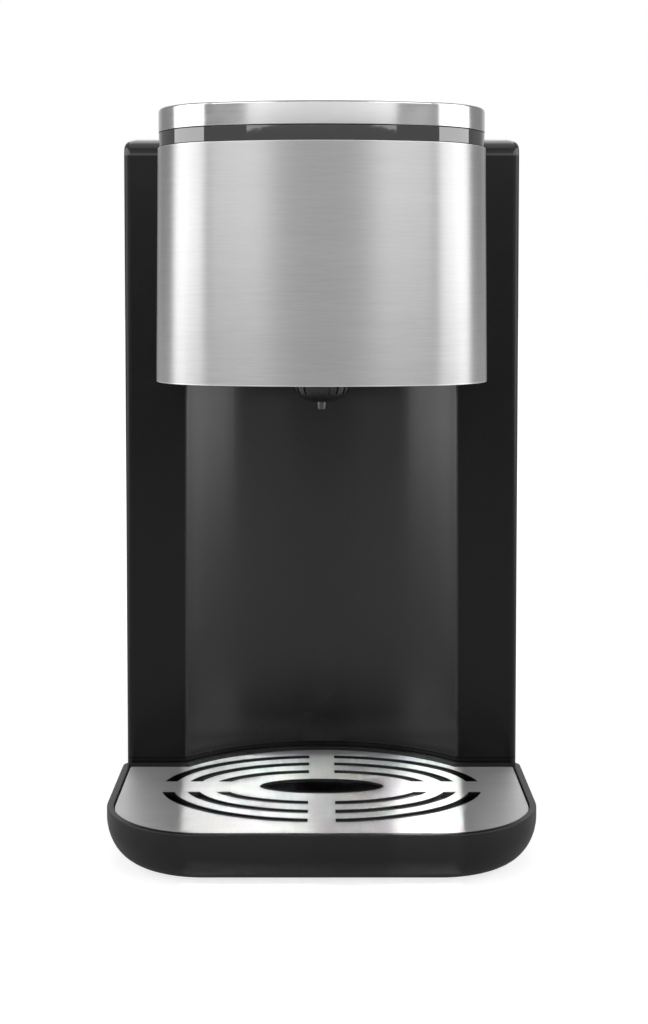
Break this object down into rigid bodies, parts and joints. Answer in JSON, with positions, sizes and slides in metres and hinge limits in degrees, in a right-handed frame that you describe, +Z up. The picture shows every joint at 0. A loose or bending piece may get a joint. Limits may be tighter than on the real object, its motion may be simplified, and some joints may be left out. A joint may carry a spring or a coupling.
{
  "type": "instant hot water dispenser",
  "caption": "Countertop instant hot water dispenser with overhanging head, spout, slotted drip tray, rear lift-off water tank and push buttons.",
  "frame": {"origin": "on the table, under the middle of the object's overall box", "axes": "+Z up, -Y towards the user, so the tray points along -Y and the tank along +Y, +X to the right seen from the front"},
  "size_m": [0.174, 0.29, 0.3029],
  "materials": {
    "black_plastic": "satin",
    "gloss_black": "gloss",
    "inner_plastic": "matte",
    "brushed_steel": "brushed",
    "polished_steel": "polished",
    "zinc_steel": "satin",
    "rubber": "matte",
    "silicone": "matte",
    "smoked_clear": "gloss",
    "white_plastic": "satin",
    "circuit_board": "satin",
    "button_grey": "satin"
  },
  "bodies": {
    "body": {"base_housing": "black_plastic", "front_panel": "black_plastic", "rear_housing": "black_plastic", "spout_dome": "black_plastic", "cap_carrier": "gloss_black", "control_panel": "gloss_black", "display_window": "gloss_black", "base_plate": "inner_plastic", "head_housing": "inner_plastic", "pump": "inner_plastic", "head_band": "brushed_steel", "control_cap": "polished_steel", "spout_nozzle": "polished_steel", "thermostat": "polished_steel", "base_screw_front_left": "zinc_steel", "base_screw_front_right": "zinc_steel", "base_screw_rear_left": "zinc_steel", "base_screw_rear_right": "zinc_steel", "board_screw_left": "zinc_steel", "board_screw_right": "zinc_steel", "frame_screw_left": "zinc_steel", "frame_screw_right": "zinc_steel", "inner_frame": "zinc_steel", "heater": "zinc_steel", "heater_clamp_lower": "zinc_steel", "heater_clamp_upper": "zinc_steel", "pump_bracket": "zinc_steel", "foot_front_left": "rubber", "foot_front_right": "rubber", "foot_rear_left": "rubber", "foot_rear_right": "rubber", "cord_gland": "rubber", "dock_seal": "rubber", "wiring_loom": "rubber", "inlet_hose": "silicone", "pump_hose": "silicone", "outlet_hose": "silicone", "steam_chamber": "white_plastic", "tank_dock": "white_plastic", "thermal_fuse": "white_plastic", "control_board": "circuit_board", "power_board": "circuit_board"},
    "tray": {"drip_tray": "black_plastic"},
    "grille": {"drip_grille": "brushed_steel"},
    "tank": {"water_tank": "smoked_clear", "valve_cage": "white_plastic", "valve_spring": "zinc_steel"},
    "lid": {"tank_lid": "black_plastic", "lid_pin": "zinc_steel"},
    "valve": {"valve_plunger": "white_plastic", "valve_seal": "rubber"},
    "button_dispense": {"button_dispense": "button_grey"},
    "button_volume_down": {"button_volume_down": "button_grey"},
    "button_volume_up": {"button_volume_up": "button_grey"},
    "button_temperature_down": {"button_temperature_down": "button_grey"},
    "button_temperature_up": {"button_temperature_up": "button_grey"}
  },
  "joints": [
    {"name": "tray_lift", "type": "slide", "parent": "body", "child": "tray", "axis": [0, 0, 1], "range_m": [0, 0.06]},
    {"name": "grille_lift", "type": "slide", "parent": "tray", "child": "grille", "axis": [0, 0, 1], "range_m": [0, 0.03]},
    {"name": "tank_lift", "type": "slide", "parent": "body", "child": "tank", "axis": [0, 0, 1], "range_m": [0, 0.06]},
    {"name": "lid_hinge", "type": "hinge", "parent": "tank", "child": "lid", "pos_m": [0, 0.08, 0.2922], "axis": [1, 0, 0], "range_deg": [0, 95]},
    {"name": "valve_travel", "type": "slide", "parent": "tank", "child": "valve", "axis": [0, 0, 1], "range_m": [0, 0.003], "stiffness_N_per_m": 80, "springref_m": -0.002, "deforming": ["valve_spring"]},
    {"name": "button_dispense_press", "type": "slide", "parent": "body", "child": "button_dispense", "axis": [0, 0, -1], "range_m": [0, 0.001], "stiffness_N_per_m": 400, "springref_m": -0.0005},
    {"name": "button_volume_down_press", "type": "slide", "parent": "body", "child": "button_volume_down", "axis": [0, 0, -1], "range_m": [0, 0.001], "stiffness_N_per_m": 400, "springref_m": -0.0005},
    {"name": "button_volume_up_press", "type": "slide", "parent": "body", "child": "button_volume_up", "axis": [0, 0, -1], "range_m": [0, 0.001], "stiffness_N_per_m": 400, "springref_m": -0.0005},
    {"name": "button_temperature_down_press", "type": "slide", "parent": "body", "child": "button_temperature_down", "axis": [0, 0, -1], "range_m": [0, 0.001], "stiffness_N_per_m": 400, "springref_m": -0.0005},
    {"name": "button_temperature_up_press", "type": "slide", "parent": "body", "child": "button_temperature_up", "axis": [0, 0, -1], "range_m": [0, 0.001], "stiffness_N_per_m": 400, "springref_m": -0.0005}
  ]
}
